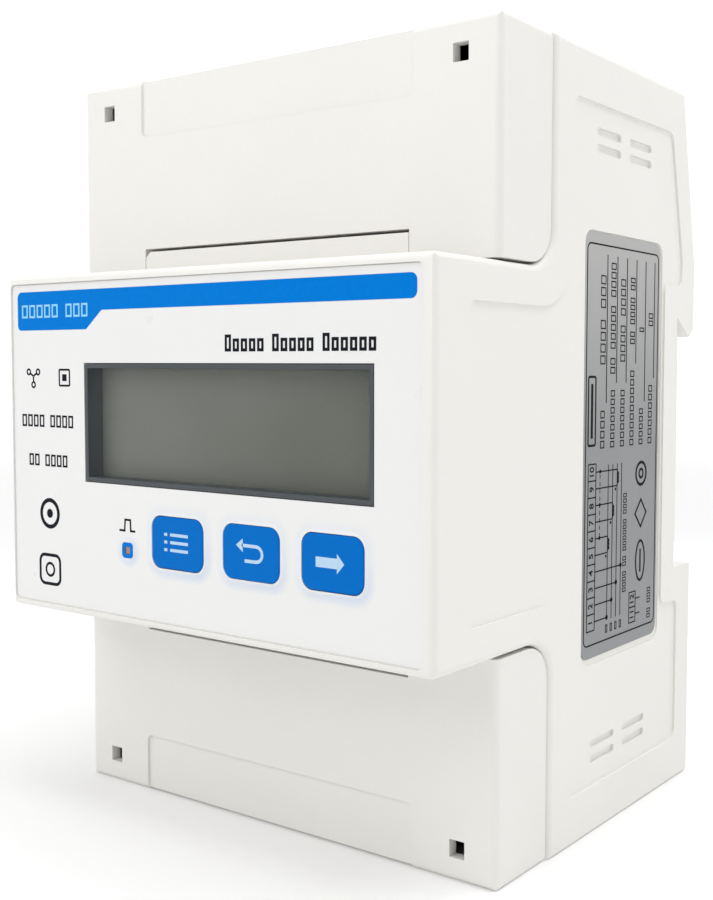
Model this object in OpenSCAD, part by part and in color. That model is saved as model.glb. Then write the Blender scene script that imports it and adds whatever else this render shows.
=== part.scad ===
// Three-phase smart electric meter for a 35 mm top-hat rail.
// Frame: the origin is the middle of the face that rests on the rail, +Z is up,
// -Y points out of the front and +X is to the right of someone facing the meter.

/* [Case] */
// Width of the case, four rail modules
case_w = 72; // [71:0.5:74]
// Height of the case
case_h = 100; // [98:0.5:102]
// Depth from the rail seat to the front face
case_d = 60; // [59.5:0.5:61]
// Wall thickness of the mouldings
wall = 2; // [1.8:0.1:2.2]
// Radius of the moulded outer edges
edge_r = 1; // [0.6:0.1:1.2]
// Distance from the front face back to the deck under the covers
deck_setback = 24.3; // [24:0.1:24.6]
// Distance from the front face back to the split between the two halves
split_setback = 30; // [29.5:0.5:30.5]
// Radius of the hollow corner between the front box and the deck
deck_corner_r = 4.7; // [4:0.1:5]

/* [Front box] */
// Height of the raised front box
box_h = 45; // [44.6:0.1:45]
// Width of the rim round the front panel
rim = 1.2; // [1:0.1:1.5]
// Depth of the pocket that the front panel lies in
panel_pocket = 1; // [0.9:0.1:1.1]
// Thickness of the front panel
panel_t = 0.7; // [0.6:0.1:0.7]

/* [Terminal covers] */
// Distance from the front face back to the covers' front
cover_setback = 12.9; // [12.5:0.1:13.5]
// Wall thickness of the covers
cover_wall = 1.5; // [1.2:0.1:1.6]
// How far the covers' sides stand in from the case's sides
cover_inset = 0.4; // [0.3:0.1:0.6]
// Side of the square seal holes
seal_hole = 2.15; // [1.8:0.05:2.4]
// Half width of the shallow break-out panel at each cover's outer edge
breakout_half = 23.5; // [22:0.5:25]
// Depth of that panel
breakout_depth = 0.35; // [0.2:0.05:0.5]
// Half width of the case tab in each cover's inner edge
tab_half = 22.8; // [20:0.1:23]
// How far the tab reaches beyond the front box
tab_reach = 3.8; // [3:0.1:4]

/* [Display and keys] */
// Width of the display's dark frame
display_w = 48; // [46:0.5:48]
// Height of the display's dark frame
display_h = 15.3; // [14:0.1:15.5]
// Width of a key
key_w = 9.1; // [8:0.1:9.4]
// Height of a key
key_h = 6.5; // [5.5:0.1:6.6]
// Distance between neighbouring keys
key_pitch = 12.45; // [12:0.05:12.6]
// Travel of a key
key_travel = 0.4; // [0.2:0.05:0.4]

/* [Terminals] */
// Radius of the wire hole in each clamp
wire_r = 2.1; // [1.8:0.1:2.2]
// Length of a clamp's wire hole
clamp_len = 12; // [10:0.5:12]
// Distance between the clamps at the top
top_pitch = 15.2; // [14:0.1:15.4]
// Distance between the clamps at the bottom
bottom_pitch = 7.6; // [7.4:0.1:7.7]

/* [Rail mount] */
// How far the upper back stands behind the rail seat
hook_depth = 5.5; // [5.3:0.1:5.6]
// Width of the sliding latch
latch_w = 18.4; // [16:0.2:19]
// Travel of the latch
latch_travel = 3.5; // [3.2:0.1:4]

/* [Side panels] */
// Depth of the shallow panels on both sides
side_depth = 0.3; // [0.2:0.05:0.4]
// Depth of the rating label's pocket below them
label_pocket = 0.25; // [0.2:0.05:0.3]
// Thickness of the rating label
label_t = 0.14; // [0.1:0.02:0.18]

/* [Hidden] */
$fn = 48;

shell_white = "#f2f1ee";
panel_white = "#eef1f6";
key_blue = "#0080d8";
dark_plastic = "#3c3f41";
lcd_grey = "#6f7268";
board_green = "#2f6b3f";
chip_black = "#26272a";
brass = "#c9a45a";
steel = "#b9bcc0";
label_silver = "#b4b5b3";
clear_plastic = "#dfe8ee";
rubber_grey = "#8a8f94";
red_led = "#c8402f";
blue_disc = "#2c62a8";
copper = "#b5713c";

cut = 0.1;
half_w = case_w / 2;
half_h = case_h / 2;
half_box = box_h / 2;
corner_r = 0.6;
front_y = -case_d;
cover_y = front_y + cover_setback;
deck_y = front_y + deck_setback;
split_y = front_y + split_setback;

// Front panel and what shows through it. They all sit a little left of the middle.
panel_x = -0.45;
panel_half_w = half_w - rim;
panel_top = half_box - rim;
panel_bottom = -half_box + rim - 0.15;
pocket_y = front_y + panel_pocket;
panel_y = pocket_y - panel_t;
display_x = 3.7;
display_z = 3.1;
bezel_lip = 0.6;
glass_y = panel_y + 2.4;
glass_t = 2.2;
holder_x = [-22.7, 30.3];
holder_z = [-6.8, 12.9];
holder_wall = 1;
key_z = -11.3;
key_x = [for (i = [-1:1]) 9.6 + i * key_pitch];
key_r = 1.5;
key_flange = 0.8;
led_x = -12.15;
led_z = -12.95;

// Boards
display_board_y = [-50.2, -48.6];
display_post_x = [-29.5, 31];
display_post_z = 16.5;
main_board_y = [-16, -14.4];
main_board_half = 28;
main_post_x = 24;
main_post_z = 24.5;

// Terminals
wire_y = -25;
clamp_end = 46;
clamp_half_y = 4.5;
block_front_y = -41;
block_back_y = -19.5;
block_z = [30, case_h / 2 - wall - 0.1];
nose_y = [-29.6, -20.5];
clamp_screw_z = clamp_end - clamp_len / 2;
top_x = [for (i = [-1.5:1.5]) i * top_pitch];
bottom_x = [for (i = [-3.5:3.5]) i * bottom_pitch];
terminals_half_w = max(top_pitch * 2, bottom_pitch * 4);
screw_tip_y = wire_y - wire_r - 0.1;

// Rail mount. A 35 mm rail's middle lies a little below the middle of the case.
rail_half = 17.5;
rail_z = -0.5;
ledge_z = rail_z - rail_half - 0.3;
seat_bottom = -14.5;
seat_top = 14.8;
hook_tip = [3.8, 15.1];
hook_root = [0, 17.8];
lower_back = hook_depth - 0.2;
latch_floor = 1;
latch_gap = 0.15;
latch_t = 2.05;
latch_rib_half = 6.4;
latch_back = 5;
latch_bottom = -half_h + 0.7;
latch_top = rail_z - rail_half + 2.4;
spring_z = [-40, -27.1];
spring_r = 1.4;
spring_wire_r = 0.22;
spring_turns = 7;

// Case screws
case_screw_x = 31.2;
case_screw_z = 26;
case_screw_seat = -3;

// ---------- helpers ----------

function unit(v) = v / norm(v);
function bearing(v) = atan2(v[1], v[0]);
function within_half_turn(a) = a > 180 ? a - 360 : a < -180 ? a + 360 : a;

// The points of one corner [u, v, radius] between its two neighbours
function corner(before, at, after, steps) =
    let (
        here = [at[0], at[1]],
        u = unit([before[0], before[1]] - here),
        v = unit([after[0], after[1]] - here),
        half = acos(u * v) / 2,
        reach = at[2] / tan(half),
        centre = here + unit(u + v) * at[2] / sin(half),
        start = bearing(here + u * reach - centre),
        sweep = within_half_turn(bearing(here + v * reach - centre) - start)
    )
    at[2] == 0 ? [here] :
    [for (i = [0:steps]) let (a = start + sweep * i / steps) centre + at[2] * [cos(a), sin(a)]];

// An outline whose corners [u, v, radius] are rounded by their own radii
function rounded(points, steps = 6) =
    let (n = len(points))
    [for (i = [0:n - 1]) each corner(points[(i + n - 1) % n], points[i], points[(i + 1) % n], steps)];

function rect(u0, u1, v0, v1, r = 0) = [[u0, v0, r], [u1, v0, r], [u1, v1, r], [u0, v1, r]];

module outline(points, steps = 6) polygon(rounded(points, steps));

// The outline's (u, v) is (Y, Z), (X, Z) and (X, Y) in these three
module along_x(from, to) translate([from, 0, 0]) rotate([90, 0, 90]) linear_extrude(to - from) children();
module along_y(from, to) translate([0, to, 0]) rotate([90, 0, 0]) linear_extrude(to - from) children();
module along_z(from, to) translate([0, 0, from]) linear_extrude(to - from) children();

module block(x, y, z) translate([x[0], y[0], z[0]]) cube([x[1] - x[0], y[1] - y[0], z[1] - z[0]]);
module rod_y(x, z, y, r) translate([x, y[1], z]) rotate([90, 0, 0]) cylinder(r = r, h = y[1] - y[0]);
module rod_z(x, y, z, r) translate([x, y, z[0]]) cylinder(r = r, h = z[1] - z[0]);
module both_ends() { children(); mirror([0, 0, 1]) children(); }
module both_sides() { children(); mirror([1, 0, 0]) children(); }

// A head with a cross slot and a shank, driven from -Y towards +Y when facing is 1
module screw(x, z, seat_y, head_r, head_t, shank_r, tip_y) {
    facing = tip_y > seat_y ? 1 : -1;
    outer_y = seat_y - facing * head_t;
    slot_y = outer_y + facing * head_t * 0.5;
    difference() {
        rod_y(x, z, [min(seat_y, outer_y), max(seat_y, outer_y)], head_r);
        for (turned = [0, 1])
            translate([x, 0, z]) rotate([0, 90 * turned, 0])
                block([-head_r * 0.7, head_r * 0.7],
                      [min(outer_y - facing * cut, slot_y), max(outer_y - facing * cut, slot_y)],
                      [-head_r * 0.13, head_r * 0.13]);
    }
    rod_y(x, z, [min(seat_y, tip_y), max(seat_y, tip_y)], shank_r);
}

// ---------- case ----------

// The shallow panel on each side. It runs from the front box over the split to the back,
// and steps in round the rail slot.
side_panel = [
    [front_y + 6.4, 17.75, 1.2], [split_y - 0.6, 17.75, 8], [split_y - 0.6, 43.75, 1],
    [-2.5, 43.75, 1.4], [1.4, 26, 1], [1.1, 22.4, 0.9], [-4.45, 22.4, 1.2],
    [-4.45, -23, 1.2], [1, -23.3, 0.9], [1, -43.75, 1.4], [split_y - 0.6, -43.75, 1],
    [split_y - 0.6, -18.1, 8], [front_y + 6.4, -18.1, 1.2]
];

// Four shallow slots in each side panel, above and below the label
module side_slots() {
    for (y = [-24.6, -15.5], z = [39.85, 37.8])
        outline(rect(y, y + 6.6, z, z + 1.05, 0.4), 4);
}

module side_relief() {
    both_sides() {
        along_x(half_w - side_depth, half_w + cut) outline(side_panel, 8);
        both_ends() along_x(half_w - side_depth - 0.4, half_w) side_slots();
    }
    along_x(half_w - side_depth - label_pocket, half_w)
        outline(rect(-27.45, -4.85, -27.9, 27.95, 1.8));
}

// The base's outline seen from the side, with the hook, the rail seat and the ledge
base_profile = [
    [split_y, -half_h, 0], [lower_back, -half_h, 0.8], [lower_back, ledge_z, 0.5], [-0.25, ledge_z, 0],
    [-0.25, seat_bottom, 0], [0, seat_bottom, 0], [0, seat_top, 0], [-0.25, seat_top, 0],
    [-0.25, hook_root[1], 0], [hook_root[0], hook_root[1], 0], [hook_tip[0], hook_tip[1], 0.3],
    [hook_depth - 0.1, 16.4, 0.5], [hook_depth, 25.5, 4], [0.85, half_h, 1.2], [split_y, half_h, 0]
];

base_hollow = [
    [split_y - cut, -half_h + wall, 0], [lower_back - wall, -half_h + wall, 0],
    [lower_back - wall, ledge_z - wall, 0], [-wall, ledge_z - wall, 0], [-wall, hook_root[1] + wall, 0],
    [hook_depth - wall, hook_root[1] + wall, 0], [hook_depth - wall, 25, 0],
    [-1.1, half_h - wall, 0], [split_y - cut, half_h - wall, 0]
];

latch_channel_half = latch_w / 2 + 0.2;

module latch_channel() {
    block([-latch_channel_half, latch_channel_half], [latch_floor, latch_floor + latch_gap + latch_t + 0.2],
          [-half_h - cut, ledge_z + cut]);
    block([-latch_rib_half - 0.2, latch_rib_half + 0.2], [latch_floor + 1, hook_depth + cut],
          [-half_h - cut, ledge_z + cut]);
}

module base_shell() difference() {
    union() {
        difference() {
            intersection() {
                along_x(-half_w, half_w) outline(base_profile, 8);
                along_y(split_y, hook_depth + 1) outline(rect(-half_w, half_w, -half_h, half_h, corner_r));
            }
            along_x(-half_w + wall, half_w - wall) outline(base_hollow);
        }
        // the thick block that the latch slides in
        block([-latch_channel_half - wall, latch_channel_half + wall], [-1, lower_back - 0.4],
              [-half_h + wall - cut, ledge_z - 0.5]);
        // posts for the main board
        for (x = [-1, 1], z = [-1, 1])
            rod_y(x * main_post_x, z * main_post_z, [main_board_y[1], 3.6], 2.2);
        // posts for the case screws, wide where the head sits
        for (x = [-1, 1], z = [-1, 1]) {
            rod_y(x * case_screw_x, z * case_screw_z, [split_y, -1], 3);
            rod_y(x * case_screw_x, z * case_screw_z, [case_screw_seat - wall, 3.6], 4.2);
        }
        // side tongues that guide the front housing on
        both_sides() block([half_w - wall - 1.1, half_w - wall - 0.1], [split_y - 2.5, split_y + 3], [-20, 20]);
        both_sides() block([half_w - wall - 1.1, half_w - wall + cut], [split_y, split_y + 3], [-20, 20]);
    }
    side_relief();
    latch_channel();
    for (x = [-1, 1], z = [-1, 1]) {
        rod_y(x * main_post_x, z * main_post_z, [main_board_y[1] - cut, -4], 1);
        rod_y(x * case_screw_x, z * case_screw_z, [split_y - cut, 0], 1.7);
        rod_y(x * case_screw_x, z * case_screw_z, [case_screw_seat, hook_depth + cut], 3.1);
    }
    // notches in the end walls for the terminals' noses
    both_ends()
        block([-terminals_half_w - 0.3, terminals_half_w + 0.3], [split_y - cut, nose_y[1] + 0.2],
              [half_h - wall - cut, half_h + cut]);
}

// The shell, and the boss that the latch spring pushes against
module rear_base() color(shell_white) {
    base_shell();
    block([-2, 2], [latch_floor - cut, 4.4], [spring_z[0] - 2, spring_z[0]]);
}

// The hollow corner between the front box and the deck, over the whole width
module deck_corner_fill() {
    corner_y = deck_y - deck_corner_r;
    corner_z = half_box + deck_corner_r;
    both_ends() difference() {
        block([-half_w, half_w], [corner_y, deck_y + edge_r + cut], [half_box - edge_r - cut, corner_z]);
        translate([-half_w - cut, corner_y, corner_z])
            rotate([0, 90, 0]) cylinder(r = deck_corner_r, h = case_w + 2 * cut);
    }
}

// The case's rounded edge where it follows that hollow corner
module lip_cut() {
    edge = corner([deck_corner_r, 0], [deck_corner_r, half_w, edge_r], [case_d, half_w], 6);
    both_sides() both_ends()
        translate([0, deck_y - deck_corner_r, half_box + deck_corner_r])
            rotate([90, 0, 90]) rotate([0, 0, -90]) rotate_extrude(angle = 90)
                polygon(concat(edge, [[deck_corner_r + edge_r, half_w + cut], [deck_corner_r - cut, half_w + cut],
                                      [deck_corner_r - cut, half_w - edge_r]]));
}

module front_housing_outside() {
    intersection() {
        along_y(front_y, split_y) outline(rect(-half_w, half_w, -half_box, half_box, edge_r));
        along_z(-half_box, half_box) outline([[-half_w, front_y, edge_r], [half_w, front_y, edge_r],
                                              [half_w, split_y, 0], [-half_w, split_y, 0]]);
        along_x(-half_w, half_w) outline([[front_y, -half_box, edge_r], [split_y, -half_box, 0],
                                          [split_y, half_box, 0], [front_y, half_box, edge_r]]);
    }
    intersection() {
        along_y(deck_y, split_y) outline(rect(-half_w, half_w, -half_h, half_h, corner_r));
        along_z(-half_h, half_h) outline([[-half_w, deck_y, edge_r], [half_w, deck_y, edge_r],
                                          [half_w, split_y, 0], [-half_w, split_y, 0]]);
    }
    difference() {
        deck_corner_fill();
        lip_cut();
    }
}

// The tab between the front box and a cover, with one corner cut off
module cover_tab() {
    top = half_box + tab_reach;
    along_y(cover_y + 0.05, deck_y)
        polygon([[-tab_half, half_box - cut], [tab_half, half_box - cut], [tab_half, top],
                 [-tab_half + 0.8, top], [-tab_half, top - 0.8]]);
}

module front_housing() color(shell_white) difference() {
    union() {
        difference() {
            union() {
                front_housing_outside();
                both_ends() cover_tab();
            }
            block([-half_w + wall, half_w - wall], [front_y + wall, split_y + cut],
                  [-half_box + wall, half_box - wall]);
            block([-half_w + wall, half_w - wall], [deck_y + wall, split_y + cut],
                  [-half_h + wall, half_h - wall]);
        }
        for (x = display_post_x, z = [-1, 1])
            rod_y(x, z * display_post_z, [front_y + wall - cut, display_board_y[0]], 1.8);
        for (x = [-1, 1], z = [-1, 1])
            rod_y(x * case_screw_x, z * case_screw_z, [deck_y + wall - cut, split_y], 3);
    }
    side_relief();
    // pocket for the front panel, and the openings behind it
    along_y(front_y - cut, pocket_y)
        outline(rect(panel_x - panel_half_w - 0.1, panel_x + panel_half_w + 0.1, panel_bottom - 0.1,
                     panel_top + 0.1, 0.7));
    block([display_x - display_w / 2 - 0.3, display_x + display_w / 2 + 0.3], [front_y, front_y + wall + cut],
          [display_z - display_h / 2 - 0.3, display_z + display_h / 2 + 0.3]);
    for (x = key_x)
        along_y(front_y, front_y + wall + cut)
            outline(rect(x - key_w / 2 - 0.3, x + key_w / 2 + 0.3, key_z - key_h / 2 - 0.3,
                         key_z + key_h / 2 + 0.3, key_r + 0.3));
    rod_y(led_x, led_z, [front_y, front_y + wall + cut], 1);
    for (x = display_post_x, z = [-1, 1])
        rod_y(x, z * display_post_z, [front_y + wall + 1, display_board_y[0] + cut], 1);
    for (x = [-1, 1], z = [-1, 1])
        rod_y(x * case_screw_x, z * case_screw_z, [deck_y + 0.8, split_y + cut], 1.3);
    both_ends() {
        // where the terminal block comes through the deck
        block([-terminals_half_w - 0.3, terminals_half_w + 0.3], [deck_y - cut, deck_y + wall + cut],
              [block_z[0], block_z[1] - 1.2]);
        // slots for the cover's guide arms
        both_sides() block([32, 33.6], [deck_y - cut, deck_y + wall + cut], [36, 40]);
    }
}

// Pan-head screws from the back that hold the two halves together
module case_screws() color(steel)
    for (x = [-1, 1], z = [-1, 1])
        screw(x * case_screw_x, z * case_screw_z, case_screw_seat, 2.7, 2, 1.25, deck_y + 1);

// ---------- covers ----------

module cover() {
    half = half_w - cover_inset;
    inner_z = half_box + 0.3;
    rear_y = deck_y - 0.1;
    notch_half = tab_half + 0.12;
    notch_z = half_box + tab_reach + 0.4;
    arm_z = [36.3, 39.7];
    difference() {
        intersection() {
            along_y(cover_y, rear_y) outline([[-half, inner_z, 0], [half, inner_z, 0],
                                              [half, half_h, corner_r], [-half, half_h, corner_r]]);
            along_z(inner_z, half_h) outline([[-half, cover_y, edge_r], [half, cover_y, edge_r],
                                              [half, rear_y, 0], [-half, rear_y, 0]]);
            along_x(-half, half) outline([[cover_y, inner_z, 0], [rear_y, inner_z, deck_corner_r - 0.3],
                                          [rear_y, half_h, 0], [cover_y, half_h, edge_r]]);
        }
        block([-notch_half, notch_half], [cover_y - cut, rear_y + cut], [inner_z - cut, notch_z]);
        along_y(cover_y + cover_wall, rear_y + cut)
            polygon([[-half + cover_wall, inner_z + cover_wall], [-notch_half - cover_wall, inner_z + cover_wall],
                     [-notch_half - cover_wall, notch_z + cover_wall],
                     [notch_half + cover_wall, notch_z + cover_wall],
                     [notch_half + cover_wall, inner_z + cover_wall], [half - cover_wall, inner_z + cover_wall],
                     [half - cover_wall, half_h - cover_wall], [-half + cover_wall, half_h - cover_wall]]);
        for (x = [-1, 1])
            translate([x * 30.15, 0, half_h - 3.9])
                block([-seal_hole / 2, seal_hole / 2], [cover_y - cut, cover_y + cover_wall + cut],
                      [-seal_hole / 2, seal_hole / 2]);
        along_y(cover_y - cut, cover_y + breakout_depth)
            outline([[-breakout_half, half_h - 8, 0.9], [breakout_half, half_h - 8, 0.9],
                     [breakout_half, half_h + cut, 0], [-breakout_half, half_h + cut, 0]]);
        block([-breakout_half, breakout_half], [cover_y - cut, rear_y + cut],
              [half_h - breakout_depth, half_h + cut]);
    }
    both_sides() block([32.2, 33.4], [cover_y + cover_wall - cut, deck_y + wall + 1.2], arm_z);
}

module top_cover() color(shell_white) cover();

module bottom_cover() color(shell_white) mirror([0, 0, 1]) cover();

// ---------- front panel, display and keys ----------

module front_panel() color(panel_white) difference() {
    along_y(panel_y, pocket_y)
        outline(rect(panel_x - panel_half_w, panel_x + panel_half_w, panel_bottom, panel_top, 0.6));
    block([display_x - display_w / 2 - 0.1, display_x + display_w / 2 + 0.1], [panel_y - cut, pocket_y + cut],
          [display_z - display_h / 2 - 0.1, display_z + display_h / 2 + 0.1]);
    for (x = key_x)
        along_y(panel_y - cut, pocket_y + cut)
            outline(rect(x - key_w / 2 - 0.1, x + key_w / 2 + 0.1, key_z - key_h / 2 - 0.1,
                         key_z + key_h / 2 + 0.1, key_r + 0.1));
    rod_y(led_x, led_z, [panel_y - cut, pocket_y + cut], 0.75);
}

// The dark frame round the display, in one piece with the holder of the glass behind it
module display_bezel() color(dark_plastic) difference() {
    union() {
        block([display_x - display_w / 2, display_x + display_w / 2], [panel_y, front_y + wall + 0.2],
              [display_z - display_h / 2, display_z + display_h / 2]);
        block(holder_x, [front_y + wall + 0.1, display_board_y[0] - 0.1], holder_z);
    }
    block([display_x - display_w / 2 + bezel_lip, display_x + display_w / 2 - bezel_lip],
          [panel_y - cut, glass_y + cut],
          [display_z - display_h / 2 + bezel_lip, display_z + display_h / 2 - bezel_lip]);
    block([holder_x[0] + holder_wall, holder_x[1] - holder_wall], [glass_y, display_board_y[0]],
          [holder_z[0] + holder_wall, holder_z[1] - holder_wall]);
}

module display_window() color(clear_plastic, 0.4)
    block([display_x - display_w / 2 + bezel_lip + 0.1, display_x + display_w / 2 - bezel_lip - 0.1],
          [panel_y + 0.1, panel_y + 0.8],
          [display_z - display_h / 2 + bezel_lip + 0.1, display_z + display_h / 2 - bezel_lip - 0.1]);

module lcd_glass() color(lcd_grey)
    block([holder_x[0] + holder_wall + 0.1, holder_x[1] - holder_wall - 0.1], [glass_y + 0.05, glass_y + glass_t],
          [holder_z[0] + holder_wall + 0.1, holder_z[1] - holder_wall - 0.1]);

module lcd_backlight() color("white")
    block([holder_x[0] + 2, holder_x[1] - 2], [glass_y + glass_t + 0.1, -52], [-4, 10.2]);

// Conductive rubber strips that join the glass to the display board
module elastomer_strips() color(rubber_grey)
    for (z = [[holder_z[0] + 1.2, holder_z[0] + 2.6], [holder_z[1] - 2.6, holder_z[1] - 1.2]])
        block([holder_x[0] + 1.5, holder_x[1] - 1.5], [glass_y + glass_t, display_board_y[0]], z);

module key(x) {
    along_y(front_y, front_y + wall + 0.2)
        outline(rect(x - key_w / 2, x + key_w / 2, key_z - key_h / 2, key_z + key_h / 2, key_r));
    along_y(front_y + wall + 0.1, front_y + wall + 0.9)
        outline(rect(x - key_w / 2 - key_flange, x + key_w / 2 + key_flange,
                     key_z - key_h / 2 - key_flange, key_z + key_h / 2 + key_flange, key_r));
    rod_y(x, key_z, [front_y + wall + 0.8, -55.2], 1.5);
}

module key_set() color(key_blue) key(key_x[0]);
module key_esc() color(key_blue) key(key_x[1]);
module key_arrow() color(key_blue) key(key_x[2]);

module tact_switches() color(chip_black)
    for (x = key_x) {
        block([x - 3, x + 3], [-53.6, display_board_y[0]], [key_z - 3, key_z + 3]);
        rod_y(x, key_z, [-54.7, -53.5], 1.6);
    }

module pulse_led() color(red_led) {
    rod_y(led_x, led_z, [-52.6, display_board_y[0]], 1.5);
    translate([led_x, -52.6, led_z]) sphere(r = 1.5);
}

module light_pipe() color(clear_plastic) {
    rod_y(led_x, led_z, [panel_y, -54.2], 0.65);
    rod_y(led_x, led_z, [front_y + wall + 0.1, front_y + wall + 0.8], 1.4);
}

module display_board() color(board_green) difference() {
    block([-32, 33.5], display_board_y, [-19.5, 19.5]);
    for (x = display_post_x, z = [-1, 1])
        rod_y(x, z * display_post_z, [display_board_y[0] - cut, display_board_y[1] + cut], 1.1);
}

module display_screws() color(steel)
    for (x = display_post_x, z = [-1, 1])
        screw(x, z * display_post_z, display_board_y[1], 1.9, 1.2, 0.9, -54.5);

// ---------- main board ----------

module main_board() color(board_green) difference() {
    block([-main_board_half, main_board_half], main_board_y, [-main_board_half, main_board_half]);
    for (x = [-1, 1], z = [-1, 1])
        rod_y(x * main_post_x, z * main_post_z, [main_board_y[0] - cut, main_board_y[1] + cut], 1.2);
}

module board_screws() color(steel)
    for (x = [-1, 1], z = [-1, 1])
        screw(x * main_post_x, z * main_post_z, main_board_y[0], 2.2, 1.4, 0.9, -8);

module board_connectors() color("white") {
    block([2, 16], [main_board_y[0] - 5, main_board_y[0]], [-2.5, 2.5]);
    block([2, 16], [display_board_y[1], display_board_y[1] + 5], [-2.5, 2.5]);
}

module ribbon_cable() color(rubber_grey)
    block([3, 15], [display_board_y[1] + 5, main_board_y[0] - 5], [-0.4, 0.4]);

// A ferrite core with its wound bobbin
module power_transformer() color(blue_disc) {
    block([-26, -13], [-27, main_board_y[0]], [4, 8]);
    block([-26, -13], [-27, main_board_y[0]], [16, 20]);
    block([-24.5, -14.5], [-26, main_board_y[0] - 1], [7.9, 16.1]);
}

module capacitors() color(chip_black)
    for (x = [-6, 4.5])
        rod_y(x, 18, [-30, main_board_y[0]], 4);

// One small current transformer for each phase
module current_sensors() color(blue_disc)
    for (x = [-18, 0, 18])
        difference() {
            rod_z(x, main_board_y[0] - 7, [-19, -12], 7);
            rod_z(x, main_board_y[0] - 7, [-19 - cut, -12 + cut], 2.5);
        }

module metering_chip() color(chip_black) block([-20, -10], [-17.5, main_board_y[0]], [-8, 2]);

module processor_chip() color(chip_black) block([18.5, 27], [-17.5, main_board_y[0]], [-6.5, 2]);

module optocouplers() color(chip_black)
    for (x = [9.8, 14.4, 19])
        block([x - 2.1, x + 2.1], [-19.5, main_board_y[0]], [-26.5, -22]);

module varistors() color(blue_disc)
    for (x = [13, 18.5, 24])
        rod_z(x, main_board_y[0] - 5, [8, 11.5], 2.5);

module divider_resistors() color(copper)
    for (x = [-18.5:3:5.5])
        block([x - 0.8, x + 0.8], [-16.6, main_board_y[0]], [-26.4, -23]);

// ---------- terminals ----------

// One terminal's own housing: it stands through the deck, and its nose shows at the case's end
module terminal_housing(x, half, head_r, clamp_half) {
    difference() {
        union() {
            block([x - half, x + half], [deck_y + wall + 0.1, block_back_y], block_z);
            block([x - half, x + half], [block_front_y, deck_y + wall + 0.2],
                  [block_z[0] + 0.2, block_z[1] - 1.4]);
            block([x - half, x + half], nose_y, [block_z[1] - cut, half_h - 0.3]);
        }
        block([x - clamp_half - 0.1, x + clamp_half + 0.1],
              [wire_y - clamp_half_y - 0.1, wire_y + clamp_half_y + 0.1], [block_z[0] - cut, clamp_end + 0.1]);
        rod_y(x, clamp_screw_z, [block_front_y - cut, wire_y - clamp_half_y], head_r + 0.3);
        rod_z(x, wire_y, [clamp_end, half_h], wire_r + 0.3);
    }
}

module terminal_block(xs, pitch, head_r, clamp_half)
    for (x = xs) terminal_housing(x, pitch / 2 - 0.05, head_r, clamp_half);

// A brass block with a hole for the wire and a tapped hole for the screw
module clamp(x, clamp_half) {
    difference() {
        block([x - clamp_half, x + clamp_half], [wire_y - clamp_half_y, wire_y + clamp_half_y],
              [clamp_end - clamp_len, clamp_end]);
        rod_z(x, wire_y, [clamp_end - clamp_len - cut, clamp_end + cut], wire_r);
        rod_y(x, clamp_screw_z, [wire_y - clamp_half_y - cut, wire_y], 1.5);
    }
}

module clamp_screw(x, head_r)
    screw(x, clamp_screw_z, block_front_y + 3.2, head_r, 2, 1.42, screw_tip_y);

// A strip from each clamp to the main board
module link(x) {
    block([x - 0.8, x + 0.8], [wire_y + 2.9, wire_y + 3.6], [27.5, clamp_end - clamp_len]);
    block([x - 0.8, x + 0.8], [wire_y + 2.9, main_board_y[0]], [26.9, 27.6]);
}

module terminal_block_top() color(dark_plastic) terminal_block(top_x, top_pitch, 3, 3.8);
module terminal_block_bottom() color(dark_plastic)
    mirror([0, 0, 1]) terminal_block(bottom_x, bottom_pitch, 2.6, 3);
module terminal_clamps_top() color(brass) for (x = top_x) clamp(x, 3.8);
module terminal_clamps_bottom() color(brass) mirror([0, 0, 1]) for (x = bottom_x) clamp(x, 3);
module terminal_screws_top() color(steel) for (x = top_x) clamp_screw(x, 3);
module terminal_screws_bottom() color(steel) mirror([0, 0, 1]) for (x = bottom_x) clamp_screw(x, 2.6);
module terminal_links_top() color(copper) for (x = top_x) link(x);
module terminal_links_bottom() color(copper) mirror([0, 0, 1]) for (x = bottom_x) link(x);

// ---------- rail latch ----------

// A slide with a nose that hooks behind the rail's lower edge
module din_latch() color(shell_white) {
    plate_y = [latch_floor + latch_gap, latch_floor + latch_gap + latch_t];
    nose_base = ledge_z - 0.6;
    difference() {
        union() {
            block([-latch_w / 2, latch_w / 2], plate_y, [latch_bottom, nose_base]);
            block([-latch_rib_half, latch_rib_half], [plate_y[0], latch_back], [latch_bottom, nose_base]);
            along_x(-latch_rib_half, latch_rib_half)
                polygon([[plate_y[0], nose_base - cut], [latch_back, nose_base - cut],
                         [plate_y[0] + 0.8, latch_top], [plate_y[0], latch_top]]);
        }
        // window for the spring and the boss that it pushes against
        block([-2.2, 2.2], [plate_y[0] - cut, latch_back + cut], [spring_z[0] - 2.05, spring_z[1] + 0.05]);
        // slot for a screwdriver
        block([-3.2, 3.2], [plate_y[0] - cut, latch_back + cut], [latch_bottom + 1.6, latch_bottom + 3.8]);
        // grip grooves
        for (z = [-24.5, -22.5, -20.5])
            block([-latch_rib_half - cut, latch_rib_half + cut], [latch_back - 0.5, latch_back + cut], [z - 0.5, z + 0.5]);
    }
}

// A helical compression spring in the latch's window
coil_steps = 12;
wire_sides = 6;
coil_rings = spring_turns * coil_steps;
function coil_ring(i) =
    let (
        a = 360 * i / coil_steps,
        z = spring_z[0] + spring_wire_r + (spring_z[1] - spring_z[0] - 2 * spring_wire_r) * i / coil_rings
    )
    [for (k = [0:wire_sides - 1])
        let (b = 360 * k / wire_sides, r = spring_r + spring_wire_r * cos(b))
        [r * cos(a), latch_floor + 1.95 + r * sin(a), z + spring_wire_r * sin(b)]];

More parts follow.
